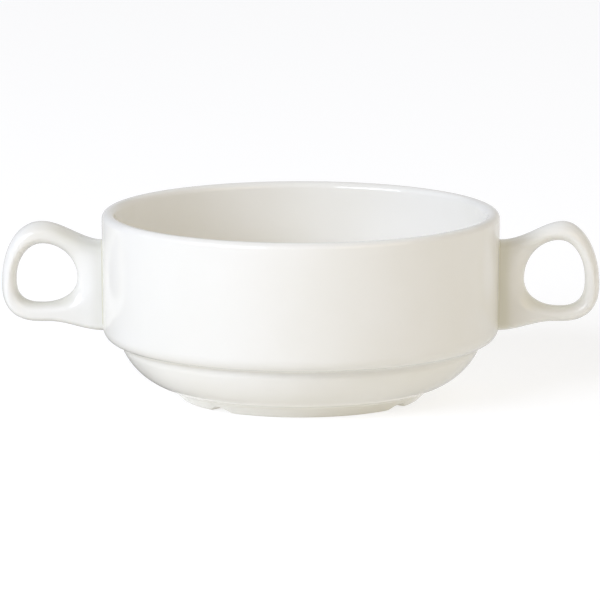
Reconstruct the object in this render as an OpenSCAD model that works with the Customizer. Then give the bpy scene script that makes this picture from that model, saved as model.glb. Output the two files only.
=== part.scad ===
// Stacking bouillon cup with two loop handles. Millimetres.
// The origin is on the table under the middle of the cup, +Z is up and the handles lie along X.

/* [Cup] */
// Outer diameter over the lip
rim_d = 108.2; // [98:0.2:124]
// Height from the table to the top of the lip
cup_h = 50.8; // [47:0.2:62]
// Thickness of the wall and of the round lip
wall_t = 3.6; // [2.8:0.1:4.6]
// How far the wall leans in from the lip down to the shoulder
wall_lean = 0.25; // [0:0.05:1]
// Inside bend between the wall and the floor
bend_r = 27; // [22:0.5:30]
// Thickness of the floor
floor_t = 3.2; // [2.4:0.1:4.6]

/* [Stacking shoulder] */
// Height of the step that rests on the lip of the cup below
step_z = 15.8; // [13.4:0.1:17.4]
// Rounding of the wall's lower edge, over the step
shoulder_r = 4.3; // [2.6:0.1:5]
// Room between the lower bowl and the lip that it stacks into
nest_gap = 2; // [1.4:0.1:3]

/* [Lower bowl] */
// Height of the straight flank under the step
flank_h = 1.6; // [0.8:0.1:2.4]
// Bend between the flank and the belly
flank_r = 3; // [1.6:0.1:4]
// Curve of the belly, down to the foot
belly_r = 18.8; // [16.6:0.2:22]

/* [Foot] */
// Outer diameter of the ring that the cup stands on
foot_d = 65.4; // [58:0.2:70]
// Height of the foot ring
foot_h = 2.75; // [2.2:0.05:3.4]
// Width of the foot ring on the table
foot_w = 3.6; // [2.6:0.1:4.6]
// How far the ring's outside spreads towards the belly
foot_flare = 3.1; // [1.6:0.1:3.8]
// How far the ring's inside spreads towards the base
foot_splay = 1.2; // [0.6:0.1:1.8]
// Rounding of the ring's edges on the table
foot_edge_r = 0.4; // [0.2:0.05:0.6]

/* [Drain notches] */
// Width of a notch on the table
notch_w = 6.8; // [5:0.2:10]
// Height of a notch
notch_h = 1.5; // [0.8:0.1:1.9]
// Angle from the handles to the first cut, which leaves a notch on either side of the ring
notch_turn = 48.5; // [30:0.5:60]
// Angle from the first cut to the second
notch_cross = 94.7; // [70:0.1:110]

/* [Handles] */
// How far a handle reaches out from the wall
handle_reach = 27.4; // [23:0.2:34]
// Height of the root's lower end above the step
root_lift = 2.4; // [1.6:0.1:4]
// Distance from the top of the lip down to the root's upper end
root_drop = 7.8; // [6:0.1:10]
// How far the crown of the loop stands above the root
crown_rise = 5.1; // [3:0.1:5.6]
// How far the underside of the loop stands above the root's lower end
sole_rise = 2.5; // [1:0.1:4]
// Width of the web between the wall and the finger hole
web_w = 6.9; // [5:0.1:9]
// Thickness of the strap over the finger hole
crown_t = 5.5; // [4.2:0.1:6.5]
// Thickness of the strap at its outermost point
tip_t = 4; // [3.2:0.1:5.5]
// Thickness of the strap under the finger hole
sole_t = 4.6; // [3.6:0.1:6]
// Depth of the strap from front to back
strap_depth = 9; // [7:0.1:12]
// Rounding of the strap's edges
edge_r = 2.4; // [1.6:0.1:3]
// Rounding of the web's faces towards the finger hole
web_round = 5.5; // [4:0.1:8]

/* [Slip seams] */
// Thickness of the layer of slip between a handle and the wall
seam_t = 0.4; // [0.3:0.05:1]
// How far the slip stands proud of the root, all round
seam_proud = 0.5; // [0:0.1:1]

/* [Hidden] */
$fn = 120;

// Steps along each arc of the cup's profile
arc_steps = 14;
// Overrun of cuts past the surface that they open
over = 1;

// Radii and heights of the cup that follow from the sizes above
rim_r = rim_d / 2;
wall_r = rim_r - wall_lean;
inner_r = rim_r - wall_t;
lip_r = wall_t / 2;
lip_z = cup_h - lip_r;
floor_z = foot_h + floor_t;
shoulder_z = step_z + shoulder_r;
lower_r = inner_r - nest_gap;
foot_r = foot_d / 2;

// The bend of the flank touches the belly's curve from inside
flank_z = step_z - flank_h;
belly_z = foot_h + belly_r;
bend_angle = asin((belly_z - flank_z) / (belly_r - flank_r));
belly_x = lower_r - flank_r - (belly_r - flank_r) * cos(bend_angle);
foot_angle = acos((foot_r + foot_flare - belly_x) / belly_r);
foot_top_z = belly_z - belly_r * sin(foot_angle);

// Angle at which a line from a point that far away in x and z touches the ring's rounded edge
function touch(x, z) = atan2(z, x) - acos(foot_edge_r / norm([x, z]));
outside_turn = touch(foot_flare + foot_edge_r, foot_top_z - foot_edge_r);
inside_turn = touch(foot_splay + foot_edge_r, foot_h - foot_edge_r);

// A notch is part of a round bore whose axis lies under the table
notch_r = (pow(notch_w / 2, 2) + pow(notch_h, 2)) / (2 * notch_h);

// Places on the right handle, as distance from the cup's axis and height
root_z = step_z + root_lift;
root_top_z = cup_h - root_drop;
crown_z = root_top_z + crown_rise;
sole_z = root_z + sole_rise;
tip_x = wall_r + handle_reach;
// Where the crown and the underside lie, as a share of the reach
crown_share = 0.6;
crown_x = wall_r + handle_reach * crown_share;
// Height of the outermost point, as a share of the loop's height
tip_share = 0.38;
tip_z = sole_z + (crown_z - sole_z) * tip_share;
// Length of the rise under the web, as a share of the way to the crown
sole_run_share = 0.88;

// The finger hole's ends, and its widest level as a share of its height
hole_left = wall_r + web_w;
hole_right = tip_x - tip_t;
hole_top = crown_z - crown_t;
hole_bottom = sole_z + sole_t;
hole_share = 0.415;
hole_z = hole_bottom + (hole_top - hole_bottom) * hole_share;

// Powers of the four quarter curves: 2 is an ellipse, and more is squarer
crown_power = 2.15;
tip_power = 2.5;
hole_powers = [2, 2, 2.1, 2.7];

// The root starts inside the wall, by a share of its thickness, and the wall's own form then trims it
embed_share = 0.7;
embed = wall_t * embed_share;
embed_x = wall_r - embed;

// Steps along the parts of the handle's outline, and from the hole to the outer edge
flank_steps = 10;
crown_steps = 14;
tip_steps = 12;
root_steps = 12;
section_steps = 9;
// Half the angle that the wall's side takes up round the finger hole
root_angle = 45;

// Points of an arc, from one angle to another
function arc(x, z, r, from, to) =
    [for (i = [0:arc_steps]) let (a = from + (to - from) * i / arc_steps) [x + r * cos(a), z + r * sin(a)]];

// Rises from 0 to 1 with level ends
function ease(t) = let (c = min(1, max(0, t))) c * c * (3 - 2 * c);

// Rises from 0 to 1 as a quarter round does
function round_up(t) = let (c = min(1, max(0, t))) sqrt(c * (2 - c));

// Point of a quarter curve of half width a and half height b, at an angle of any quadrant
function quarter(a, b, power, angle) =
    let (c = cos(angle), s = sin(angle))
    [a * sign(c) * pow(abs(c), 2 / power), b * sign(s) * pow(abs(s), 2 / power)];

// Heights of the handle's upper and lower edge at a distance from the axis
function upper_edge(x) = root_top_z + crown_rise * ease((x - wall_r) / (crown_x - wall_r));
function lower_edge(x) = root_z + sole_rise * ease((x - wall_r) / ((crown_x - wall_r) * sole_run_share));

// How far from the finger hole the faces round off, which grows from the strap's edge towards the web
function hole_round(x) = edge_r + (web_round - edge_r) * ease((crown_x - x) / (crown_x - hole_left));

// Edge of the finger hole at an angle from 0 to 360 degrees
function hole_edge(angle) =
    let (a = (angle + 360) % 360, right = a < 90 || a > 270, upper = a < 180)
    [crown_x, hole_z] + quarter(right ? hole_right - crown_x : crown_x - hole_left,
                                upper ? hole_top - hole_z : hole_z - hole_bottom,
                                hole_powers[floor(a / 90)], a);

// Ribs of the handle: a point on the hole, one on the outer edge, and whether that is part of the free loop
ribs = concat(
    [for (i = [0:flank_steps - 1]) let (t = i / flank_steps, x = embed_x + (crown_x - embed_x) * t)
        [hole_edge(180 - root_angle - (90 - root_angle) * t), [x, upper_edge(x)], false]],
    [for (i = [0:crown_steps - 1]) let (a = 90 - 90 * i / crown_steps)
        [hole_edge(a), [crown_x, tip_z] + quarter(tip_x - crown_x, crown_z - tip_z, crown_power, a), true]],
    [for (i = [0:tip_steps - 1]) let (a = -90 * i / tip_steps)
        [hole_edge(a), [crown_x, tip_z] + quarter(tip_x - crown_x, tip_z - sole_z, tip_power, a), true]],
    [for (i = [0:flank_steps - 1]) let (t = i / flank_steps, x = crown_x + (embed_x - crown_x) * t)
        [hole_edge(-90 - (90 - root_angle) * t), [x, lower_edge(x)], false]],
    [for (i = [0:root_steps - 1]) let (t = i / root_steps, z = root_z + (root_top_z - root_z) * t)
        [hole_edge(180 + root_angle - 2 * root_angle * t), [embed_x, z], false]]
);

// Half the depth at a point of a rib, with the edges rounded
function half_depth(rib, share) =
    let (p = rib[0] + (rib[1] - rib[0]) * share, length = norm(rib[1] - rib[0]),
         to_edge = rib[2] ? length * (1 - share) : min(upper_edge(p[0]) - p[1], p[1] - lower_edge(p[0])))
    strap_depth / 2 * round_up(length * share / hole_round(rib[0][0])) * round_up(to_edge / edge_r)
    * round_up((p[0] - embed_x) * 2 / embed);

// One closed section: the front face outwards from the hole, then the back face inwards
function section(rib) =
    [for (j = [0:2 * section_steps - 1])
        let (share = (1 - cos(180 * j / section_steps)) / 2, p = rib[0] + (rib[1] - rib[0]) * share,
             side = j < section_steps ? -1 : 1)
        [p[0], side * half_depth(rib, share), p[1]]];

// Outline of the cup turned round its axis, from the middle of its underside to the middle of its floor
function cup_outline() = concat(
    [[0, foot_h], [foot_r - foot_w - foot_splay, foot_h]],
    arc(foot_r - foot_w + foot_edge_r, foot_edge_r, foot_edge_r, 180 - inside_turn, 270),
    arc(foot_r - foot_edge_r, foot_edge_r, foot_edge_r, 270, 360 + outside_turn),
    arc(belly_x, belly_z, belly_r, -foot_angle, -bend_angle),
    arc(lower_r - flank_r, flank_z, flank_r, -bend_angle, 0),
    [[lower_r, step_z]],
    arc(wall_r - shoulder_r, shoulder_z, shoulder_r, -90, 0),
    arc(rim_r - lip_r, lip_z, lip_r, 0, 180),
    arc(inner_r - bend_r, floor_z + bend_r, bend_r, 360, 270),
    [[0, floor_z]]
);

// Outline of the shoulder and wall filled to the axis and grown by an amount
function wall_outline(grow) = concat(
    [[0, step_z - grow]],
    arc(wall_r - shoulder_r, shoulder_z, shoulder_r + grow, -90, 0),
    [[rim_r + grow, lip_z], [0, lip_z]]
);

module bowl() {
    color("ivory")
    difference() {
        rotate_extrude() polygon(cup_outline());
        for (turn = [notch_turn, notch_turn + notch_cross])
            rotate([0, 0, turn])
            translate([0, 0, notch_h - notch_r])
            rotate([0, 90, 0])
            cylinder(h = 2 * (foot_r + foot_flare + over), r = notch_r, center = true);
    }
}

// The whole loop and root of the right handle, as far as inside the wall
module handle_form() {
    count = len(ribs);
    ring = 2 * section_steps;
    polyhedron(
        points = [for (rib = ribs) each section(rib)],
        faces = [for (i = [0:count - 1], j = [0:ring - 1])
            let (a = i * ring + j, b = i * ring + (j + 1) % ring,
                 next = ((i + 1) % count) * ring, c = next + j, d = next + (j + 1) % ring)
            each [[a, b, d], [a, d, c]]]
    );
}

// Footprint of the root on the wall, grown by an amount, standing out along X
module root_print(grow) {
    half = strap_depth / 2 + grow;
    corner = edge_r + grow;
    low = root_z - grow + corner;
    high = root_top_z + grow - corner;
    translate([embed_x, 0, 0])
    rotate([90, 0, 90])
    linear_extrude(height = embed + seam_t + over)
    polygon(concat(
        [for (p = arc(0, 0, 1, 0, 180)) [half * p[0], high + corner * p[1]]],
        [for (p = arc(0, 0, 1, 180, 360)) [half * p[0], low + corner * p[1]]]
    ));
}

module handle_right() {
    color("ivory")
    difference() {
        handle_form();
        rotate_extrude() polygon(wall_outline(seam_t));
    }
}

module handle_left() {
    mirror([1, 0, 0]) handle_right();
}

module slip_seam_right() {
    color("white")
    intersection() {
        root_print(seam_proud);
        rotate_extrude() difference() {
            polygon(wall_outline(seam_t));
            polygon(wall_outline(0));
        }
    }
}

module slip_seam_left() {
    mirror([1, 0, 0]) slip_seam_right();
}

bowl();
handle_left();
handle_right();
slip_seam_left();
slip_seam_right();
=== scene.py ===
"""A white glazed bouillon cup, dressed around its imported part. All sizes are in metres."""

import logging
import math
from dataclasses import dataclass, field
from enum import Enum
from typing import Any

import bpy
import numpy as np
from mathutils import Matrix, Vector


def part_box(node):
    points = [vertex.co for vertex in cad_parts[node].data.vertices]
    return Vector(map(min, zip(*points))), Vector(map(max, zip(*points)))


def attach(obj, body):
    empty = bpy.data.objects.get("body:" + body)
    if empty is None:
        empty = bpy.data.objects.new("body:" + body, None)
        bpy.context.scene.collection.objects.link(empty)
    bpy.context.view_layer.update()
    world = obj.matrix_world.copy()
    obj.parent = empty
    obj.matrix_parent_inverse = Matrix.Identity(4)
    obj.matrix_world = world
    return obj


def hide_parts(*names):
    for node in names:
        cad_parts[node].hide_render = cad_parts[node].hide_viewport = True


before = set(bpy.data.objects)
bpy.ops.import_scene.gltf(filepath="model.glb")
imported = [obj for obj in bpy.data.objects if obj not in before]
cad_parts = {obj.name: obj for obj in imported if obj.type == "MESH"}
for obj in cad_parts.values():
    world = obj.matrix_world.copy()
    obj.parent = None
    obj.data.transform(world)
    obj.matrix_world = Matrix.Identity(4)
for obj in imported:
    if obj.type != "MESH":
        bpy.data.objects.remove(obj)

MM = 0.001
LOG = logging.getLogger("bouillon_cup")

Colour = tuple[float, float, float]
Limits = tuple[float, float]
Place = tuple[float, float]
Face = tuple[int, ...]


class Side(Enum):
    """Which end of the X axis a handle points to."""

    LEFT = -1
    RIGHT = 1


class Mark(Enum):
    """What a mesh records about its glaze at each vertex, from 0 to 1; the pool mark also carries painted
    shade.
    """

    # Glaze pooling in creases and corners, and partly painted shade where shade falls there
    POOLED = "glaze_pooled"
    THIN = "glaze_thin"
    BARE = "glaze_wiped_off"


class Wire:
    """One output of a shader node, on which Python arithmetic adds Math nodes."""

    def __init__(self, desk: "Desk", socket: bpy.types.NodeSocket) -> None:
        """Keeps the socket and the desk that adds nodes to its tree.

        Args:
            desk: The desk of the tree that the socket belongs to.
            socket: The output socket.
        """
        self.desk = desk
        self.socket = socket

    def result_of(self, operation: str, *terms: "Wire | float") -> "Wire":
        """Adds one Math node.

        Args:
            operation: The Math node's operation.
            terms: Its inputs in order.

        Returns:
            The node's value.
        """
        return self.desk.node("ShaderNodeMath", {"operation": operation}, dict(enumerate(terms)))

    def __add__(self, other: "Wire | float") -> "Wire":
        """The sum of two values."""
        return self.result_of("ADD", self, other)

    __radd__ = __add__

    def __mul__(self, other: "Wire | float") -> "Wire":
        """The product of two values."""
        return self.result_of("MULTIPLY", self, other)

    __rmul__ = __mul__

    def __sub__(self, other: "Wire | float") -> "Wire":
        """The difference of two values."""
        return self.result_of("SUBTRACT", self, other)

    def __rsub__(self, other: "Wire | float") -> "Wire":
        """The difference of two values, with this one taken away."""
        return self.result_of("SUBTRACT", other, self)

    def limited(self) -> "Wire":
        """The value held between 0 and 1."""
        return self.result_of("MINIMUM", self.result_of("MAXIMUM", self, 0.0), 1.0)

    def eased(self, low: float, high: float) -> "Wire":
        """Rises smoothly from 0 to 1 between two values.

        Args:
            low: The value at which the result is 0.
            high: The value at which it is 1.

        Returns:
            The eased value.
        """
        span = {"Value": self, "From Min": low, "From Max": high}
        return self.desk.node("ShaderNodeMapRange", {"interpolation_type": "SMOOTHSTEP"}, span)


class Desk:
    """Adds nodes to one shader tree."""

    def __init__(self, tree: bpy.types.NodeTree) -> None:
        """Clears the tree.

        Args:
            tree: The node tree of a material or of the world.
        """
        self.tree = tree
        tree.nodes.clear()

    def node(self, kind: str, settings: dict[str, Any], inputs: dict[str | int, Any],
             output: str | int = 0) -> Wire:
        """Adds one node, sets it up and feeds its sockets.

        Args:
            kind: The node's type name.
            settings: Its properties, set before its sockets.
            inputs: Values or wires by socket name or number.
            output: Which output to return.

        Returns:
            The chosen output.
        """
        made = self.tree.nodes.new(kind)
        for name, value in settings.items():
            setattr(made, name, value)
        for name, value in inputs.items():
            if isinstance(value, Wire):
                self.tree.links.new(value.socket, made.inputs[name])
            else:
                made.inputs[name].default_value = value
        return Wire(self, made.outputs[output])

    def mixed(self, share: Wire | float, first: Wire | Colour, second: Wire | Colour) -> Wire:
        """Mixes two colours.

        Args:
            share: How much of the second colour shows, from 0 to 1.
            first: Colour at share 0.
            second: Colour at share 1.

        Returns:
            The mixed colour.
        """
        ends = [c if isinstance(c, Wire) else (*c, 1.0) for c in (first, second)]
        return self.node("ShaderNodeMix", {"data_type": "RGBA"}, {0: share, 6: ends[0], 7: ends[1]}, 2)

    def cloud(self, size: float, detail: float = 2.0) -> Wire:
        """Soft noise fixed to the object.

        Args:
            size: Width of one patch.
            detail: How many finer layers it has.

        Returns:
            Noise about 0.5, from 0 to 1.
        """
        place = self.node("ShaderNodeTexCoord", {}, {}, "Object")
        return self.node("ShaderNodeTexNoise", {}, {"Vector": place, "Scale": 1.0 / size, "Detail": detail})

    def mark(self, mark: Mark) -> Wire:
        """Reads one of the marks that the meshes carry."""
        return self.node("ShaderNodeAttribute", {"attribute_name": mark.value}, {}, "Fac")

    def finish(self, kind: str, shader: Wire) -> None:
        """Joins a shader to the tree's output node.

        Args:
            kind: Type name of the output node.
            shader: The shader that is shown.
        """
        end = self.tree.nodes.new(kind)
        self.tree.links.new(shader.socket, end.inputs["Surface"])


def new_material(name: str) -> tuple[bpy.types.Material, Desk]:
    """Starts a material.

    Args:
        name: The material's name.

    Returns:
        The material, and the desk of its node tree.
    """
    made = bpy.data.materials.new(name)
    made.use_nodes = True
    return made, Desk(made.node_tree)


@dataclass(frozen=True)
class HotelGlaze:
    """Clear gloss glaze over a warm white body, deeper where it pools in creases, darker where shade is
    painted in creases and corners, and worn off where it was wiped.

    Each pair of limits holds the two values, of a noise or of a distance in cells, between which the effect
    eases in or out.
    """

    name: str
    body: Colour = (0.890, 0.876, 0.826)
    # Colour where the glaze pools and where shade is painted, and of its random clouds
    pooled: Colour = (0.790, 0.775, 0.675)
    thin: Colour = (0.905, 0.893, 0.850)
    clay: Colour = (0.74, 0.70, 0.635)
    thin_share: float = 0.5
    cloudiness: float = 0.16
    cloud_limits: Limits = (0.3, 0.7)
    gloss: float = 0.075
    gloss_spread: float = 0.04
    clay_roughness: float = 0.78
    refraction: float = 1.5
    wave_height: float = 0.03 * MM
    wave_size: float = 24 * MM
    wave_detail: float = 1.0
    peel_height: float = 0.0008 * MM
    peel_size: float = 2.2 * MM
    grain_height: float = 0.012 * MM
    grain_size: float = 0.35 * MM
    grain_detail: float = 4.0
    grain_limits: Limits = (0.35, 0.75)
    speck_depth: float = 0.35
    speck_spacing: float = 5.5 * MM
    speck_limits: Limits = (0.02, 0.045)
    speck_patch_size: float = 16.5 * MM
    speck_patch_limits: Limits = (0.58, 0.66)

    def material(self) -> bpy.types.Material:
        """Builds the glaze.

        Returns:
            The material, with its nodes.
        """
        made, desk = new_material(self.name)
        bare = desk.mark(Mark.BARE)
        cloud = desk.cloud(self.wave_size).eased(*self.cloud_limits) * self.cloudiness
        # The pool mark darkens the colour where glaze pools and where shade is painted; the cloud varies it
        # at random
        depth = (desk.mark(Mark.POOLED) + cloud).limited()
        colour = desk.mixed(depth, self.body, self.pooled)
        colour = desk.mixed(desk.mark(Mark.THIN) * self.thin_share, colour, self.thin)
        colour = desk.mixed(self.specks(desk) * self.speck_depth, colour, self.clay)
        grain = desk.cloud(self.grain_size, self.grain_detail)
        wiped = desk.mixed(grain.eased(*self.grain_limits), self.clay, self.pooled)
        colour = desk.mixed(bare, colour, wiped)
        smooth = self.gloss + desk.cloud(self.peel_size) * self.gloss_spread
        roughness = smooth * (1.0 - bare) + bare * self.clay_roughness
        waves = desk.cloud(self.wave_size, self.wave_detail) * self.wave_height
        waves = waves + desk.cloud(self.peel_size) * self.peel_height
        height = waves * (1.0 - bare) + grain * bare * self.grain_height
        normal = desk.node("ShaderNodeBump", {}, {"Height": height, "Strength": 1.0, "Distance": 1.0})
        inputs = {"Base Color": colour, "Roughness": roughness, "Normal": normal, "IOR": self.refraction}
        desk.finish("ShaderNodeOutputMaterial", desk.node("ShaderNodeBsdfPrincipled", {}, inputs))
        return made

    def specks(self, desk: Desk) -> Wire:
        """Scattered iron specks, each a fraction of a millimetre across.

        Args:
            desk: The desk of the material.

        Returns:
            A mask that is 1 in the middle of a speck.
        """
        place = desk.node("ShaderNodeTexCoord", {}, {}, "Object")
        cells = {"Vector": place, "Scale": 1.0 / self.speck_spacing, "Randomness": 1.0}
        away = desk.node("ShaderNodeTexVoronoi", {"feature": "F1"}, cells, "Distance")
        patches = desk.cloud(self.speck_patch_size).eased(*self.speck_patch_limits)
        return (1.0 - away.eased(*self.speck_limits)) * patches


@dataclass(frozen=True)
class SweepPaper:
    """Backlit white paper that the cup stands on, which the camera sees as white but for the cup's shadow."""

    name: str = "sweep_paper"
    paper: Colour = (0.90, 0.90, 0.90)
    glow: Colour = (0.158, 0.148, 0.114)
    shown: Colour = (0.34, 0.34, 0.34)
    lift: Colour = (0.735, 0.735, 0.735)
    fibre_size: float = 1.5 * MM
    fibre_detail: float = 5.0
    fibre_tone: float = 0.98
    roughness: float = 0.6

    def material(self) -> bpy.types.Material:
        """Builds the paper.

        Returns:
            The material, with its nodes.
        """
        made, desk = new_material(self.name)
        lit = self.lit_sheet(desk, self.paper, self.glow)
        white = self.lit_sheet(desk, self.shown, self.lift)
        ends = {0: seen_directly(desk), 1: lit, 2: white}
        desk.finish("ShaderNodeOutputMaterial", desk.node("ShaderNodeMixShader", {}, ends))
        return made

    def lit_sheet(self, desk: Desk, colour: Colour, glow: Colour) -> Wire:
        """Matt paper with fine fibres and a glow of its own.

        Args:
            desk: The desk of the material.
            colour: The paper's colour.
            glow: The light that it gives off.

        Returns:
            The shader.
        """
        fibre = tuple(self.fibre_tone * c for c in colour)
        mottled = desk.mixed(desk.cloud(self.fibre_size, self.fibre_detail), colour, fibre)
        matt = desk.node("ShaderNodeBsdfDiffuse", {}, {"Color": mottled, "Roughness": self.roughness})
        light = desk.node("ShaderNodeEmission", {}, {"Color": (*glow, 1.0), "Strength": 1.0})
        return desk.node("ShaderNodeAddShader", {}, {0: matt, 1: light})


def seen_directly(desk: Desk) -> Wire:
    """A mask of the rays that show the background: from the camera, or from a reflection or glass.

    Args:
        desk: The desk of the material or the world.

    Returns:
        1 for those rays and 0 for the rest.
    """
    rays = [desk.node("ShaderNodeLightPath", {}, {}, name)
            for name in ("Is Camera Ray", "Is Glossy Ray", "Is Transmission Ray")]
    return (rays[0] + rays[1] + rays[2]).limited()


def towards_light(desk: Desk, way: Wire) -> tuple[Wire, Wire]:
    """How far a direction turns to the right of the cup and how far behind it.

    Args:
        desk: The desk of the material or the world.
        way: The direction, one unit long.

    Returns:
        Both shares, squared so that they fade softly.
    """
    right, back = (desk.node("ShaderNodeSeparateXYZ", {}, {0: way}, axis).limited() for axis in "XY")
    return right * right, back * back


def arc(centre: Place, radius: float, start: float, stop: float, steps: int) -> np.ndarray:
    """Points of an arc.

    Args:
        centre: Its centre, as distance from the axis and height.
        radius: Its radius.
        start: First angle in degrees.
        stop: Last angle in degrees.
        steps: Steps between the two.

    Returns:
        One row for each point.
    """
    angle = np.radians(np.linspace(start, stop, steps + 1))
    return np.column_stack([centre[0] + radius * np.cos(angle), centre[1] + radius * np.sin(angle)])


def straight(first: Place, last: Place, steps: int) -> np.ndarray:
    """Points of a straight stretch.

    Args:
        first: Its first point.
        last: Its last point.
        steps: Steps between the two.

    Returns:
        One row for each point.
    """
    share = np.linspace(0.0, 1.0, steps + 1)[:, None]
    return np.array(first) * (1 - share) + np.array(last) * share


def softened(before: np.ndarray, corner: np.ndarray, after: np.ndarray, steps: int) -> np.ndarray:
    """A curve that rounds a corner, tangent to the lines that meet there.

    Args:
        before: Where the curve leaves the first line.
        corner: Where the two lines meet.
        after: Where it joins the second line.
        steps: Steps along the curve.

    Returns:
        One row for each point.
    """
    t = np.linspace(0.0, 1.0, steps + 1)[:, None]
    return before * (1 - t) ** 2 + corner * 2 * t * (1 - t) + after * t**2


def part_way(steps: int) -> np.ndarray:
    """Shares of the way along a stretch, from 0 to one step before its end."""
    return np.arange(steps) / steps


def ease(value: np.ndarray | float) -> np.ndarray:
    """Rises from 0 to 1 with level ends."""
    held = np.clip(value, 0.0, 1.0)
    return held * held * (3 - 2 * held)


def round_up(value: np.ndarray | float) -> np.ndarray:
    """Rises from 0 to 1 as a quarter round does."""
    held = np.clip(value, 0.0, 1.0)
    return np.sqrt(held * (2 - held))


def fade(away: np.ndarray, reach: float, power: int = 2) -> np.ndarray:
    """Falls smoothly from 1 to 0 with distance.

    Args:
        away: The distance.
        reach: Distance at which the result has fallen to about a third.
        power: 2 for a bell, more for a flatter top with steeper sides.

    Returns:
        1 where the distance is 0, falling to 0 away from there.
    """
    return np.exp(-((away / reach) ** power))


def closeness(points: np.ndarray, spot: Place, reach: float) -> np.ndarray:
    """How close points are to a spot.

    Args:
        points: One row for each point.
        spot: The spot.
        reach: Distance at which the result has fallen to about a third.

    Returns:
        1 at the spot, falling to 0 away from it.
    """
    return fade(np.linalg.norm(points - np.array(spot), axis=1), reach)


def ring_faces(rings: int, around: int, closed: bool) -> list[Face]:
    """Quads of a grid whose rings are each closed.

    Args:
        rings: Number of rings.
        around: Points on each ring.
        closed: Whether the last ring joins the first.

    Returns:
        Corners of each face.
    """
    faces = []
    for i in range(rings if closed else rings - 1):
        here = i * around
        there = ((i + 1) % rings) * around
        for j in range(around):
            k = (j + 1) % around
            faces.append((here + j, here + k, there + k, there + j))
    return faces


def put_in_scene(name: str, data: bpy.types.ID) -> bpy.types.Object:
    """Makes an object at the origin.

    Args:
        name: The object's name.
        data: Its mesh, lamp or camera.

    Returns:
        The object, linked to the scene.
    """
    made = bpy.data.objects.new(name, data)
    bpy.context.scene.collection.objects.link(made)
    return made


def make_piece(name: str, points: np.ndarray, faces: list[Face],
               marks: dict[Mark, np.ndarray]) -> bpy.types.Object:
    """Makes a smooth mesh object at the origin.

    Args:
        name: The piece's name.
        points: Its vertices, one row each.
        faces: Corners of each face.
        marks: A value for each vertex, by mark.

    Returns:
        The object, linked to the scene.
    """
    mesh = bpy.data.meshes.new(name)
    mesh.from_pydata(points.tolist(), [], faces)
    mesh.validate()
    mesh.polygons.foreach_set("use_smooth", [True] * len(mesh.polygons))
    for mark in Mark:
        values = marks.get(mark, np.zeros(len(points))).astype(np.float32)
        mesh.attributes.new(mark.value, "FLOAT", "POINT").data.foreach_set("value", values)
    mesh.update()
    return put_in_scene(name, mesh)


def dress(piece: bpy.types.Object, finish: HotelGlaze, node: str) -> bpy.types.Object:
    """Glazes a piece and has it stand for its CAD node.

    Args:
        piece: The piece.
        finish: Its glaze.
        node: The CAD node that it stands for.

    Returns:
        The piece.
    """
    found = bpy.data.materials.get(finish.name)
    piece.data.materials.append(found or finish.material())
    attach(piece, "root")
    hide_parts(node)
    return piece


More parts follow.
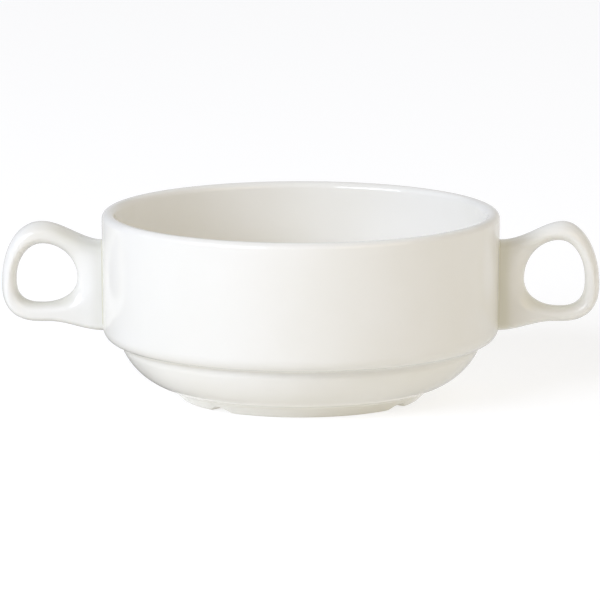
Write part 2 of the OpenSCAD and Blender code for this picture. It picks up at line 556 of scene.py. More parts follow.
@dataclass
class Bowl:
    """The turned body: foot ring, belly, stacking step, wall, lip and inside."""

    rim_radius: float
    height: float
    wall: float = 3.6 * MM
    wall_lean: float = 0.25 * MM
    inside_bend: float = 27 * MM
    floor: float = 3.2 * MM
    step_height: float = 15.8 * MM
    shoulder: float = 3.7 * MM
    nest_gap: float = 2 * MM
    flank_height: float = 1.6 * MM
    flank_bend: float = 3 * MM
    belly_bend: float = 18.8 * MM
    foot_radius: float = 32.7 * MM
    foot_height: float = 2.75 * MM
    foot_width: float = 3.6 * MM
    foot_flare: float = 3.1 * MM
    foot_splay: float = 1.2 * MM
    foot_edge: float = 0.55 * MM
    crease: float = 0.55 * MM
    step_crease: float = 1.5 * MM
    foot_crease: float = 1.3 * MM
    notch_width: float = 6.8 * MM
    notch_height: float = 1.5 * MM
    notch_turn: float = 48.5
    notch_cross: float = 94.7
    notch_softness: float = 0.28 * MM
    # How deep the glaze pools and shade is painted, how far the pools and painted shade reach, and how far
    # the glaze thins and is wiped off
    step_pool_shade: float = 0.05
    step_pool_shade_inset: float = 0.2 * MM
    step_pool_shade_reach: float = 1.1 * MM
    ring_pool_shade: float = 0.35
    ring_pool_shade_reach: float = 1.0 * MM
    # Painted shade under the step's overhang, over the upper belly
    under_step_shade: float = 0.06
    under_step_shade_reach: float = 4.5 * MM
    lip_thin_reach: float = 1.4 * MM
    wiped_height: float = 0.12 * MM
    wiped_lift: float = 0.3 * MM
    # Degrees, columns and steps of the mesh
    fine_turn: float = 11.5
    fine_columns: int = 48
    plain_columns: int = 44
    base_steps: int = 14
    ring_steps: int = 6
    ring_edge_steps: int = 5
    crease_steps: int = 9
    belly_steps: int = 26
    flank_steps: int = 8
    step_steps: int = 7
    shoulder_steps: int = 16
    wall_steps: int = 14
    lip_steps: int = 24
    inner_wall_steps: int = 7
    inside_steps: int = 26
    floor_steps: int = 10

    def __post_init__(self) -> None:
        """Works out the radii, heights and turns that follow from the sizes."""
        self.wall_radius = self.rim_radius - self.wall_lean
        self.inner_radius = self.rim_radius - self.wall
        self.lip = self.wall / 2
        self.lip_height = self.height - self.lip
        self.lower_radius = self.inner_radius - self.nest_gap
        self.floor_height = self.foot_height + self.floor
        self.shoulder_height = self.step_height + self.shoulder
        self.flank_height_above = self.step_height - self.flank_height
        self.belly_height = self.foot_height + self.belly_bend
        gap = self.belly_bend - self.flank_bend
        self.bend = math.asin((self.belly_height - self.flank_height_above) / gap)
        self.belly_radius = self.lower_radius - self.flank_bend - gap * math.cos(self.bend)
        self.foot_turn = math.acos((self.foot_radius + self.foot_flare - self.belly_radius) / self.belly_bend)
        self.foot_top = self.belly_height - self.belly_bend * math.sin(self.foot_turn)
        self.outside_turn = self.touch(self.foot_flare, self.foot_top)
        self.inside_turn = self.touch(self.foot_splay, self.foot_height)

    def touch(self, spread: float, height: float) -> float:
        """Angle at which one of the foot ring's sides touches its rounded edge.

        Args:
            spread: How far the side spreads on its way up.
            height: Height of its upper end.

        Returns:
            The angle below level, in radians.
        """
        out, up = spread + self.foot_edge, height - self.foot_edge
        return math.acos(self.foot_edge / math.hypot(out, up)) - math.atan2(up, out)

    def wall_at(self, height: np.ndarray) -> np.ndarray:
        """Outer radius of the wall and shoulder at a height.

        Args:
            height: Heights above the table, from the step to the lip.

        Returns:
            The radius at each.
        """
        run = (height - self.shoulder_height) / (self.lip_height - self.shoulder_height)
        drop = np.clip(self.shoulder_height - height, 0.0, self.shoulder)
        rounded = self.wall_radius - self.shoulder + np.sqrt(self.shoulder**2 - drop**2)
        return np.where(run > 0, self.wall_radius + self.wall_lean * run, rounded)

    def foot_outline(self) -> np.ndarray:
        """The underside and foot ring, from the axis to the top of the ring's outside.

        Returns:
            One row for each point.
        """
        inner, outer, edge = self.foot_radius - self.foot_width, self.foot_radius, self.foot_edge
        well = np.array([inner - self.foot_splay, self.foot_height])
        steps = self.ring_edge_steps
        inside = arc((inner + edge, edge), edge, 180 + math.degrees(self.inside_turn), 270, steps)
        turn = (inside[0] - well) / np.linalg.norm(inside[0] - well) * self.crease
        return np.vstack([
            straight((0.0, self.foot_height), (well[0] - self.crease, self.foot_height), self.base_steps),
            softened(well - [self.crease, 0.0], well, well + turn, steps)[1:],
            straight(tuple(well + turn), tuple(inside[0]), steps)[1:],
            inside[1:],
            straight((inner + edge, 0.0), (outer - edge, 0.0), self.ring_steps)[1:],
            arc((outer - edge, edge), edge, 270, 360 - math.degrees(self.outside_turn), steps)[1:],
        ])

    def upper_outline(self) -> np.ndarray:
        """The rest of the outline, from the foot's crease over the lip to the middle of the floor.

        Returns:
            One row for each point.
        """
        start, bend = -math.degrees(self.foot_turn), -math.degrees(self.bend)
        ease_in = math.degrees(self.foot_crease / self.belly_bend)
        belly_centre = (self.belly_radius, self.belly_height)
        belly = arc(belly_centre, self.belly_bend, start + ease_in, bend, self.belly_steps)
        corner = np.array([self.foot_radius + self.foot_flare, self.foot_top])
        flank = self.foot_outline()[-1]
        below = corner + (flank - corner) / np.linalg.norm(flank - corner) * self.foot_crease
        step_in = (self.lower_radius + self.step_crease, self.step_height - self.step_crease)
        flank_bend = (self.lower_radius - self.flank_bend, self.flank_height_above)
        edge = (self.wall_radius - self.shoulder, self.shoulder_height)
        lip = (self.rim_radius - self.lip, self.lip_height)
        bend_level = self.floor_height + self.inside_bend
        floor_edge = self.inner_radius - self.inside_bend
        return np.vstack([
            straight(tuple(flank), tuple(below), self.ring_steps)[1:],
            softened(below, corner, belly[0], self.crease_steps)[1:],
            belly[1:],
            arc(flank_bend, self.flank_bend, bend, 0, self.flank_steps)[1:],
            arc(step_in, self.step_crease, 180, 90, self.step_steps),
            arc(edge, self.shoulder, -90, 0, self.shoulder_steps),
            straight((self.wall_radius, edge[1]), (self.rim_radius, lip[1]), self.wall_steps)[1:],
            arc(lip, self.lip, 0, 180, self.lip_steps)[1:],
            straight((self.inner_radius, lip[1]), (self.inner_radius, bend_level), self.inner_wall_steps)[1:],
            arc((floor_edge, bend_level), self.inside_bend, 360, 270, self.inside_steps)[1:],
            straight((floor_edge, self.floor_height), (0.0, self.floor_height), self.floor_steps)[1:],
        ])

    def notch_turns(self) -> np.ndarray:
        """Angles of the notches in degrees, which two straight cuts leave in the ring."""
        cuts = np.array([self.notch_turn, self.notch_turn + self.notch_cross])
        return np.concatenate([cuts, cuts + 180])

    def columns(self) -> np.ndarray:
        """Places the lathe's columns, closer together at the notches.

        Returns:
            Their angles in degrees.
        """
        turns = self.notch_turns()
        made = []
        for here, there in zip(turns, np.append(turns[1:], turns[0] + 360)):
            first, last = here + self.fine_turn, there - self.fine_turn
            made.append(np.linspace(here - self.fine_turn, first, self.fine_columns))
            made.append(np.linspace(first, last, self.plain_columns)[1:-1])
        return np.concatenate(made)

    def notch_level(self, aside: np.ndarray) -> np.ndarray:
        """Height of the foot's underside across a notch.

        Args:
            aside: Distance from the notch's middle.

        Returns:
            The height at each, 0 away from the notch.
        """
        bore = ((self.notch_width / 2) ** 2 + self.notch_height**2) / (2 * self.notch_height)
        fall = bore - np.sqrt(np.maximum(bore**2 - aside**2, 0.0))
        level = self.notch_height - fall
        return (level + np.sqrt(level**2 + self.notch_softness**2)) / 2

    def points(self) -> tuple[np.ndarray, np.ndarray, np.ndarray]:
        """Turns the outline and lifts the foot at the notches.

        Returns:
            Points by row and column, the outline, and how far each point was lifted.
        """
        foot, upper = self.foot_outline(), self.upper_outline()
        outline = np.vstack([foot, upper])
        turns = self.columns()
        off = (turns[:, None] - self.notch_turns() + 180) % 360 - 180
        off = off[np.arange(len(turns)), np.argmin(np.abs(off), axis=1)]
        radius, level = outline[:, :1], outline[:, 1:]
        lift = self.notch_level(radius * np.sin(np.radians(off))[None, :])
        middle = self.foot_radius - self.foot_width / 2
        top = np.where(radius > middle, self.foot_top, self.foot_height)
        share = np.clip((top - level) / (top - self.foot_edge), 0.0, 1.0)
        last = len(foot) + self.ring_steps + self.crease_steps - 1
        in_ring = (np.arange(len(outline)) < last)[:, None] & (radius > self.foot_radius / 2)
        lift = np.where(in_ring, lift * share, 0.0)
        slopes = [-math.tan(self.inside_turn), math.tan(self.outside_turn)]
        spread = np.interp((radius - middle) / (self.foot_width / 2), [-1.0, 1.0], slopes)
        angle = np.radians(turns)[None, :]
        reach = radius + lift * spread
        placed = np.stack([reach * np.cos(angle), reach * np.sin(angle), level + lift], axis=-1)
        return placed, outline, lift

    def build(self) -> bpy.types.Object:
        """Builds the body.

        Returns:
            The piece, not yet glazed.
        """
        placed, outline, lift = self.points()
        rows, count = placed.shape[:2]
        grid = placed[1:-1].reshape(-1, 3)
        bottom, top = len(grid), len(grid) + 1
        points = np.vstack([grid, placed[0, :1], placed[-1, :1]])
        faces = ring_faces(rows - 2, count, closed=False)
        last = (rows - 3) * count
        faces += [(bottom, (j + 1) % count, j) for j in range(count)]
        faces += [(top, last + j, last + (j + 1) % count) for j in range(count)]
        marks = {mark: np.append(values[1:-1].ravel(), [0.0, 0.0])
                 for mark, values in self.marks(outline, lift).items()}
        return make_piece("cup_body", points, faces, marks)

    def marks(self, outline: np.ndarray, lift: np.ndarray) -> dict[Mark, np.ndarray]:
        """Where the glaze pools and shade is painted, where it ran thin and where it was wiped off.

        Args:
            outline: The outline's points.
            lift: How far each point was lifted in a notch, by row and column.

        Returns:
            A value for each point by mark, by row and column.
        """
        step = (self.lower_radius + self.step_pool_shade_inset, self.step_height - self.step_pool_shade_inset)
        ring = (self.foot_radius + self.foot_flare, self.foot_top)
        crest = (self.rim_radius - self.lip, self.height)
        outside = np.arange(len(outline)) < np.argmax(outline[:, 1])
        under_step = outside & (outline[:, 1] <= self.step_height) & (outline[:, 0] > self.foot_radius)
        # Painted shade under the step's overhang, fading down the belly
        belly = fade(self.step_height - outline[:, 1], self.under_step_shade_reach) * under_step
        # The step's and the foot ring's creases darken partly with pooling glaze and partly with painted
        # shade
        pooled = (self.step_pool_shade * closeness(outline, step, self.step_pool_shade_reach)
                  + self.ring_pool_shade * closeness(outline, ring, self.ring_pool_shade_reach) + self.under_step_shade * belly)
        thin = closeness(outline, crest, self.lip_thin_reach)
        wiped = outline[:, 1] < self.wiped_height
        all_round = np.ones(lift.shape[1])
        return {
            Mark.POOLED: np.outer(np.clip(pooled, 0.0, 1.0), all_round),
            Mark.THIN: np.outer(thin, all_round),
            Mark.BARE: wiped[:, None] * np.clip(1 - lift / self.wiped_lift, 0.0, 1.0),
        }


@dataclass(frozen=True)
class Rib:
    """A line across a handle's face, from the finger hole's edge to the outer edge."""

    inner: Place
    outer: Place
    free: bool


@dataclass(frozen=True)
class Casting:
    """What tells one handle from its twin: its strap, its crown's form, how its glaze ran and how much shade
    is painted on it.

    The pool shades say how dark the glaze lies in the valley over the web, at the root and under the hole,
    partly as pooling glaze and partly as painted shade. The crown's shift moves its peak outwards, and a
    flank power over 1 has the upper edge rise later.
    """

    crown_thickness: float
    sole_thickness: float
    valley_pool_shade: float
    root_pool_shade: float
    hole_pool_shade: float
    glaze: HotelGlaze
    crown_power: float = 2.15
    crown_shift: float = 0.0
    flank_power: float = 1.0


@dataclass
class LoopHandle:
    """One cast loop handle, from its root in the wall round the finger hole."""

    side: Side
    bowl: Bowl
    casting: Casting
    tip: float
    crown: float
    root_low: float
    tip_thickness: float = 4 * MM
    root_drop: float = 7.8 * MM
    crown_rise: float = 5.1 * MM
    sole_rise: float = 2.5 * MM
    web: float = 6.9 * MM
    depth: float = 9 * MM
    edge: float = 2.4 * MM
    crown_round: float = 3.0 * MM
    sole_round: float = 1.6 * MM
    web_round: float = 5.5 * MM
    # Shares of the reach, the loop's height, the run, the hole's height, the wall and the embedded depth
    crown_share: float = 0.6
    tip_share: float = 0.38
    sole_run_share: float = 0.88
    hole_share: float = 0.415
    embed_share: float = 0.7
    root_round_share: float = 0.5
    # Powers of the quarter curves: 2 is an ellipse, and more is squarer
    tip_power: float = 2.5
    hole_powers: tuple[float, float, float, float] = (2.0, 2.0, 2.1, 2.7)
    root_angle: float = 45.0
    # Where the glaze lies deep or thin, and where shade is painted in the valley, at the root and under the
    # hole
    root_pool_shade_reach: float = 2.9 * MM
    crown_pool_shade_share: float = 0.4
    hole_pool_shade_share: float = 0.16
    valley_share: float = 0.46
    valley_run: float = 6.5 * MM
    valley_depth: float = 3.0 * MM
    steep_power: int = 4
    thin_share: float = 0.18
    # Steps of the mesh
    flank_steps: int = 26
    loop_steps: int = 34
    root_steps: int = 22
    section_steps: int = 20

    def __post_init__(self) -> None:
        """Works out the places that follow from the sizes."""
        wall = self.bowl.wall_radius
        self.root_top = self.bowl.height - self.root_drop
        self.sole = self.root_low + self.sole_rise
        self.middle = wall + (self.tip - wall) * self.crown_share
        self.peak = self.middle + self.casting.crown_shift
        self.tip_height = self.sole + (self.crown - self.sole) * self.tip_share
        self.hole_in, self.hole_out = wall + self.web, self.tip - self.tip_thickness
        self.hole_top = self.crown - self.casting.crown_thickness
        self.hole_bottom = self.sole + self.casting.sole_thickness
        self.hole_level = self.hole_bottom + (self.hole_top - self.hole_bottom) * self.hole_share
        self.embed = self.bowl.wall * self.embed_share
        self.start = wall - self.embed

    def upper_edge(self, x: np.ndarray | float) -> np.ndarray:
        """Height of the web's and strap's upper edge, which rises from the wall to the crown's peak.

        Args:
            x: Distance from the cup's axis.

        Returns:
            The height at each distance.
        """
        wall = self.bowl.wall_radius
        run = np.clip((x - wall) / (self.peak - wall), 0.0, 1.0)
        return self.root_top + self.crown_rise * ease(run**self.casting.flank_power)

    def lower_edge(self, x: np.ndarray | float) -> np.ndarray:
        """Height of the lower edge at a distance from the axis."""
        run = (self.middle - self.bowl.wall_radius) * self.sole_run_share
        return self.root_low + self.sole_rise * ease((x - self.bowl.wall_radius) / run)

    def hole_round(self, x: float) -> float:
        """How far from the finger hole the faces round off, at a place on the hole's edge."""
        towards_web = float(ease((self.middle - x) / (self.middle - self.hole_in)))
        return self.edge + (self.web_round - self.edge) * towards_web

    def quarter(self, centre: Place, half: Place, power: float, angle: float) -> Place:
        """Point of a rounded quarter curve.

        Args:
            centre: The curve's centre.
            half: Its half width and half height.
            power: 2 for an ellipse, more for a squarer curve.
            angle: Angle in degrees.

        Returns:
            Distance from the axis and height.
        """
        c, s = math.cos(math.radians(angle)), math.sin(math.radians(angle))
        return (centre[0] + half[0] * math.copysign(abs(c) ** (2 / power), c),
                centre[1] + half[1] * math.copysign(abs(s) ** (2 / power), s))

    def hole_edge(self, angle: float) -> Place:
        """Point on the finger hole's edge.

        Args:
            angle: Angle in degrees, from the side away from the wall and over the top.

        Returns:
            Distance from the axis and height.
        """
        turned = angle % 360
        right, upper = turned < 90 or turned > 270, turned < 180
        half = (self.hole_out - self.middle if right else self.middle - self.hole_in,
                self.hole_top - self.hole_level if upper else self.hole_level - self.hole_bottom)
        return self.quarter((self.middle, self.hole_level), half, self.hole_powers[int(turned // 90)], turned)

    def ribs(self) -> list[Rib]:
        """Lines from the finger hole to the outer edge, all the way round.

        Returns:
            The ribs, from the root over the crown, round the tip and back to the root.
        """
        made = []
        lean = 90 - self.root_angle
        for t in part_way(self.flank_steps):
            x = self.start + (self.peak - self.start) * t
            edge = (x, float(self.upper_edge(x)))
            made.append(Rib(self.hole_edge(180 - self.root_angle - lean * t), edge, False))
        half = (self.tip - self.peak, self.crown - self.tip_height)
        for t in part_way(self.loop_steps):
            edge = self.quarter((self.peak, self.tip_height), half, self.casting.crown_power, 90 - 90 * t)
            made.append(Rib(self.hole_edge(90 - 90 * t), edge, True))
        half = (self.tip - self.middle, self.tip_height - self.sole)
        for t in part_way(self.loop_steps):
            edge = self.quarter((self.middle, self.tip_height), half, self.tip_power, -90 * t)
            made.append(Rib(self.hole_edge(-90 * t), edge, True))
        for t in part_way(self.flank_steps):
            x = self.middle + (self.start - self.middle) * t
            made.append(Rib(self.hole_edge(-90 - lean * t), (x, float(self.lower_edge(x))), False))
        for t in part_way(self.root_steps):
            z = self.root_low + (self.root_top - self.root_low) * t
            made.append(Rib(self.hole_edge(180 + self.root_angle * (1 - 2 * t)), (self.start, z), False))
        return made

    def shares(self) -> np.ndarray:
        """Places of a section's points along its rib, out on the front face and in on the back."""
        step = np.arange(2 * self.section_steps)
        return (1 - np.cos(np.pi * step / self.section_steps)) / 2

    def section(self, rib: Rib) -> np.ndarray:
        """One closed section: the front face outwards from the hole, then the back face inwards.

        Args:
            rib: One of the ribs.

        Returns:
            Its points, one row each.
        """
        inner, outer = np.array(rib.inner), np.array(rib.outer)
        share = self.shares()
        x, z = inner[:, None] + (outer - inner)[:, None] * share
        length = float(np.linalg.norm(outer - inner))
        if rib.free:
            rise = float(ease((rib.outer[1] - self.sole) / (self.crown - self.sole)))
            to_edge = length * (1 - share) / (self.sole_round + (self.crown_round - self.sole_round) * rise)
        else:
            over, under = self.upper_edge(x) - z, z - self.lower_edge(x)
            to_edge = np.minimum(over / self.crown_round, under / self.sole_round)
        half = (self.depth / 2 * round_up(length * share / self.hole_round(rib.inner[0]))
                * round_up(to_edge) * round_up((x - self.start) / (self.embed * self.root_round_share)))
        front = np.where(np.arange(len(share)) < self.section_steps, -1.0, 1.0)
        return np.column_stack([x, front * half, z])

    def marks(self, ribs: list[Rib], points: np.ndarray) -> dict[Mark, np.ndarray]:
        """Where the glaze pools, with painted shade, and where it ran thin.

        Args:
            ribs: The handle's ribs.
            points: Its points, one section after another.

        Returns:
            A value for each point, by mark.
        """
        out = points[:, 0] - self.bowl.wall_radius
        # Painted shade, partly pooling glaze, in the valley under the upper edge over the web
        below = self.upper_edge(points[:, 0]) - points[:, 2]
        along = out - (self.middle - self.bowl.wall_radius) * self.valley_share
        lowest = fade(along, self.valley_run, self.steep_power)
        valley_fill_and_shade = self.crown_pool_shade_share + (1 - self.crown_pool_shade_share) * lowest
        valley = fade(below, self.valley_depth) * valley_fill_and_shade * self.casting.valley_pool_shade
        # Painted shade, partly pooling glaze, in the corner at the root
        root = fade(out, self.root_pool_shade_reach, self.steep_power) * self.casting.root_pool_shade
        # Painted shade, partly pooling glaze, along the finger hole's lower edge
        levels = np.repeat([rib.inner[1] for rib in ribs], 2 * self.section_steps)
        under_hole = ease((self.hole_level - levels) / (self.hole_level - self.hole_bottom))
        share = np.tile(self.shares(), len(ribs))
        hole = under_hole * fade(share, self.hole_pool_shade_share) * self.casting.hole_pool_shade
        return {
            Mark.POOLED: np.clip(root + valley + hole, 0.0, 1.0),
            Mark.THIN: fade(1 - share, self.thin_share),
        }

    def build(self) -> bpy.types.Object:
        """Builds the handle.

        Returns:
            The piece, not yet glazed.
        """
        ribs = self.ribs()
        points = np.vstack([self.section(rib) for rib in ribs])
        faces = ring_faces(len(ribs), 2 * self.section_steps, closed=True)
        name = f"loop_handle_{self.side.name.lower()}"
        return make_piece(name, *self.facing(points, faces), self.marks(ribs, points))

    def facing(self, points: np.ndarray, faces: list[Face]) -> tuple[np.ndarray, list[Face]]:
        """Turns points and faces made for the right side to the handle's own side.

        Args:
            points: Points as on the right side.
            faces: Faces that look inwards there.

        Returns:
            Points and outward faces on the handle's own side.
        """
        placed = points * np.array([self.side.value, 1.0, 1.0])
        return placed, [face[::-1] for face in faces] if self.side is Side.RIGHT else faces


@dataclass
class SlipFillet:
    """The wiped bead of slip that rounds the corner between a handle's root and the wall."""

    handle: LoopHandle
    reach: float = 0.3 * MM
    tuck: float = 0.2 * MM
    slope_step: float = 0.05 * MM
    sharp_turn: float = 50.0
    end_steps: int = 22
    side_steps: int = 26
    curve_steps: int = 9

    def root_outline(self) -> tuple[np.ndarray, np.ndarray, np.ndarray]:
        """Places round the root, once round.

        Returns:
            For each place, its share of the half depth, its share of the round end, up or down, and which end
            it keeps to, from 0 at the low one to 1 at the high one.
        """
        ends = np.radians(np.linspace(0, 180, self.end_steps + 1))
        run = np.linspace(0, 1, self.side_steps + 1)[1:-1]
        across = np.concatenate([np.cos(ends), -np.ones(len(run)), np.cos(ends + np.pi), np.ones(len(run))])
        along = np.concatenate([np.sin(ends), np.zeros(len(run)), np.sin(ends + np.pi), np.zeros(len(run))])
        rise = np.concatenate([np.ones(len(ends)), 1 - run, np.zeros(len(ends)), run])
        return across, along, rise

    def outline_at(self, x: np.ndarray | float, grow: float = 0.0) -> np.ndarray:
        """The handle's outline at a distance from the axis.

        Args:
            x: The distance, one for all places or one each.
            grow: How far the outline is moved outwards.

        Returns:
            Sideways place and height of each point.
        """
        across, along, rise = self.root_outline()
        handle = self.handle
        low = handle.lower_edge(np.asarray(x)) + handle.edge
        high = handle.upper_edge(np.asarray(x)) - handle.edge
        y = (handle.depth / 2 + grow) * across
        return np.column_stack([y, low + (high - low) * rise + (handle.edge + grow) * along])

    def on_wall(self, flat: np.ndarray, proud: float = 0.0) -> np.ndarray:
        """Puts sideways places and heights on the wall.

        Args:
            flat: Sideways place and height of each point.
            proud: How far the points stand off the wall.

        Returns:
            The points in space.
        """
        radius = self.handle.bowl.wall_at(flat[:, 1]) + proud
        return np.column_stack([np.sqrt(radius**2 - flat[:, 0] ** 2), flat])

    def build(self) -> bpy.types.Object:
        """Builds the bead.

        Returns:
            The piece, not yet glazed.
        """
        wall_radius = self.handle.bowl.wall_radius
        top_x = self.on_wall(self.outline_at(wall_radius))[:, 0] + self.reach
        next_x = top_x + self.slope_step
        top = np.column_stack([top_x, self.outline_at(top_x)])
        beyond = np.column_stack([next_x, self.outline_at(next_x)])
        corner = top + (top - beyond) * (self.reach / self.slope_step)
        base = self.on_wall(self.outline_at(wall_radius, self.reach))
        t = np.linspace(0.0, 1.0, self.curve_steps + 1)[:, None, None]
        bead = top * (1 - t) ** 2 + corner * 2 * t * (1 - t) + base * t**2
        inward = np.column_stack([top_x, self.outline_at(top_x, -self.tuck)])
        sunk = self.on_wall(base[:, 1:], -self.tuck)
        heart = self.on_wall(self.outline_at(wall_radius, -self.tuck), -self.tuck)
        rings = np.concatenate([bead, sunk[None], heart[None], inward[None]])
        points = rings.reshape(-1, 3)
        faces = ring_faces(len(rings), rings.shape[1], closed=True)
        name = f"slip_bead_{self.handle.side.name.lower()}"
        # The whole bead takes the pool mark: its darker glaze is partly pooling and partly painted shade in
        # the corner
        piece = make_piece(name, *self.handle.facing(points, faces), {Mark.POOLED: np.ones(len(points))})
        piece.data.set_sharp_from_angle(angle=math.radians(self.sharp_turn))
        return piece


@dataclass
class GreyCard:
    """A ring of grey card round the cup, darkest in front, which only reflections see.

    It draws a thin grey line along the cup's edges, which would be lost against the white without it. Close
    in front of the cup it is pale, so that the belly and the shoulder mirror pale paper.
    """

    shade: float = 0.12
    behind: float = 0.68
    beside: float = 0.20
    aside: float = 0.55
    flat_share: float = 0.72
    paling: float = 3.0
    pale_radius: float = 0.045
    grey_radius: float = 0.075
    pale_front: float = 0.035
    pale_share: float = 0.68
    inner_radius: float = 0.036
    flat_radius: float = 0.140
    outer_radius: float = 0.400
    lift: float = 0.0005
    height: float = 0.157
    height_behind: float = 0.123
    steps: int = 96

    def material(self) -> bpy.types.Material:
        """Builds the card's grey, which is paler beside, behind and close in front of the cup.

        Returns:
            The material, with its nodes.
        """
        made, desk = new_material("grey_card")
        place = desk.node("ShaderNodeTexCoord", {}, {}, "Object")
        way = desk.node("ShaderNodeVectorMath", {"operation": "NORMALIZE"}, {0: place})
        right, back = towards_light(desk, way)
        across, up = (desk.node("ShaderNodeSeparateXYZ", {}, {0: way}, axis) for axis in "XZ")
        level = self.shade + across * across * self.beside + back * self.behind + right * self.aside
        level = level * (up * self.paling + self.flat_share).limited()
        away = desk.node("ShaderNodeVectorMath", {"operation": "LENGTH"}, {0: place}, "Value")
        depth = desk.node("ShaderNodeSeparateXYZ", {}, {0: place}, "Y")
        front = 1.0 - depth.eased(-self.pale_front, 0.0)
        near = (1.0 - away.eased(self.pale_radius, self.grey_radius)) * front
        level = level + near * (self.pale_share - level)
        shown = desk.node("ShaderNodeEmission", {}, {"Color": (1.0, 1.0, 1.0, 1.0), "Strength": level})
        desk.finish("ShaderNodeOutputMaterial", shown)
        return made

    def build(self) -> None:
        """Stands the card round the cup, out of sight of all but reflections."""
        turns = np.linspace(0.0, 2 * math.pi, self.steps, endpoint=False)
        top = self.height + self.height_behind * np.clip(np.sin(turns), 0.0, 1.0)
        profile = [(self.inner_radius, self.lift), (self.flat_radius, self.lift), (self.outer_radius, top)]
        rings = [np.column_stack([r * np.cos(turns), r * np.sin(turns), np.full(self.steps, z)])
                 for r, z in profile]
        faces = ring_faces(len(rings), self.steps, closed=False)
        card = make_piece("grey_card", np.vstack(rings), faces, {})
        card.data.materials.append(self.material())
        card.visible_camera = card.visible_diffuse = card.visible_shadow = False
        card.visible_transmission = card.visible_volume_scatter = False


@dataclass(frozen=True)
class SoftBox:
    """A large soft lamp that looks at the cup."""

    name: str
    turn: float
    rise: float
    power: float
    colour: Colour
    away: float = 1.6
    width: float = 1.2
    height: float = 0.8

    def hang(self) -> None:
        """Hangs the lamp, at a turn from the camera and a rise from level in degrees."""
        data = bpy.data.lights.new(self.name, "AREA")
        data.shape, data.size, data.size_y = "RECTANGLE", self.width, self.height
        data.energy, data.color = self.power, self.colour
        lamp = put_in_scene(self.name, data)
        a, e = math.radians(self.turn), math.radians(self.rise)
        towards = Vector((math.sin(a) * math.cos(e), -math.cos(a) * math.cos(e), math.sin(e)))
        lamp.location = towards * self.away
        lamp.rotation_euler = towards.to_track_quat("Z", "Y").to_euler()


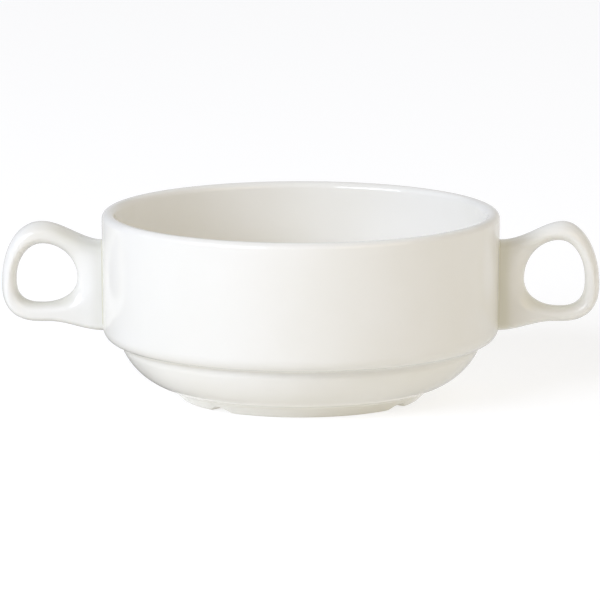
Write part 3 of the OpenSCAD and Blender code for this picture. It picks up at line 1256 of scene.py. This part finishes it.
@dataclass
class Studio:
    """Camera, lamps and paper sweep."""

    camera_back: float = 1.860
    camera_up: float = 0.3533
    camera_aside: float = -0.0002
    camera_pitch: float = 9.97
    lens: float = 416.3
    sensor: float = 36.0
    clip: Limits = (0.05, 60.0)
    lamps: tuple[SoftBox, ...] = (
        SoftBox("key_soft_box", turn=-46.0, rise=25.0, power=20.9, colour=(0.82, 0.87, 1.0)),
        SoftBox("warm_soft_box", turn=46.0, rise=30.0, power=3.3, colour=(1.0, 0.72, 0.22)),
    )
    room: Colour = (0.955, 0.96, 1.0)
    room_fill: float = 0.280
    behind: float = 0.93
    aside: float = 0.575
    paper: SweepPaper = field(default_factory=SweepPaper)
    card: GreyCard = field(default_factory=GreyCard)
    paper_width: float = 12.0

    def place_camera(self) -> None:
        """Sets the camera at the photograph's place and angle."""
        data = bpy.data.cameras.new("studio_camera")
        data.lens, data.sensor_width = self.lens, self.sensor
        data.clip_start, data.clip_end = self.clip
        camera = put_in_scene("studio_camera", data)
        camera.location = (self.camera_aside, -self.camera_back, self.camera_up)
        camera.rotation_euler = (math.radians(90 - self.camera_pitch), 0.0, 0.0)
        bpy.context.scene.camera = camera

    def light_room(self) -> None:
        """Lights the room from behind and from the right, and shows it white where it is seen."""
        world = bpy.data.worlds.new("studio")
        world.use_nodes = True
        bpy.context.scene.world = world
        desk = Desk(world.node_tree)
        way = desk.node("ShaderNodeTexCoord", {}, {}, "Generated")
        right, back = towards_light(desk, way)
        level = self.room_fill + back * self.behind + right * self.aside
        fill = desk.node("ShaderNodeBackground", {}, {"Color": (*self.room, 1.0), "Strength": level})
        white = desk.node("ShaderNodeBackground", {}, {"Color": (1.0, 1.0, 1.0, 1.0), "Strength": 1.0})
        shown = desk.node("ShaderNodeMixShader", {}, {0: seen_directly(desk), 1: fill, 2: white})
        desk.finish("ShaderNodeOutputWorld", shown)

    def roll_out_paper(self) -> None:
        """Lays the paper under the cup."""
        half = self.paper_width / 2
        mesh = bpy.data.meshes.new("paper_sweep")
        corners = [(-half, -half, 0.0), (half, -half, 0.0), (half, half, 0.0), (-half, half, 0.0)]
        mesh.from_pydata(corners, [], [(0, 1, 2, 3)])
        mesh.materials.append(self.paper.material())
        sheet = put_in_scene("paper_sweep", mesh)

    def build(self) -> None:
        """Sets up the whole studio."""
        self.place_camera()
        for lamp in self.lamps:
            lamp.hang()
        self.light_room()
        self.roll_out_paper()
        self.card.build()
        bpy.context.scene.view_settings.view_transform = "Standard"


WHITE_GLAZE = HotelGlaze("hotel_glaze")
# The slip bead's darker pool colour is partly pooling glaze and partly painted shade in the junction
SLIP_GLAZE_AND_SHADE = HotelGlaze("slip_glaze_and_shade", pooled=(0.70, 0.68, 0.57), cloudiness=0.1)
# The left handle's darker pool colour is partly thick glaze and partly painted shade on its valley, root and
# hole
THICK_GLAZE_AND_SHADE = HotelGlaze("thick_glaze_and_shade", pooled=(0.66, 0.645, 0.56), cloudiness=0.07)

CASTINGS = {
    Side.LEFT: Casting(crown_thickness=6.0 * MM, sole_thickness=5.1 * MM,
                       valley_pool_shade=1.0, root_pool_shade=0.25, hole_pool_shade=0.8, glaze=THICK_GLAZE_AND_SHADE),
    Side.RIGHT: Casting(crown_thickness=5.1 * MM, sole_thickness=4.1 * MM,
                        valley_pool_shade=0.3, root_pool_shade=1.0, hole_pool_shade=1.0, glaze=WHITE_GLAZE,
                        crown_power=1.95, crown_shift=1.0 * MM, flank_power=1.15),
}


def main() -> None:
    """Builds the cup and its studio, piece by piece."""
    logging.basicConfig(level=logging.INFO, format="%(name)s: %(message)s")
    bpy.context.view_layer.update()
    bowl_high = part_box("bowl")[1]
    bowl = Bowl(rim_radius=min(bowl_high.x, bowl_high.y), height=bowl_high.z)
    pieces = [dress(bowl.build(), WHITE_GLAZE, "bowl")]
    for side, casting in CASTINGS.items():
        name = side.name.lower()
        low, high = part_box(f"handle_{name}")
        handle = LoopHandle(side, bowl, casting, tip=max(high.x, -low.x), crown=high.z, root_low=low.z)
        pieces.append(dress(handle.build(), casting.glaze, f"handle_{name}"))
        pieces.append(dress(SlipFillet(handle).build(), SLIP_GLAZE_AND_SHADE, f"slip_seam_{name}"))
    Studio().build()
    for piece in pieces:
        LOG.info("%s has %d faces", piece.name, len(piece.data.polygons))


if __name__ == "__main__":
    main()
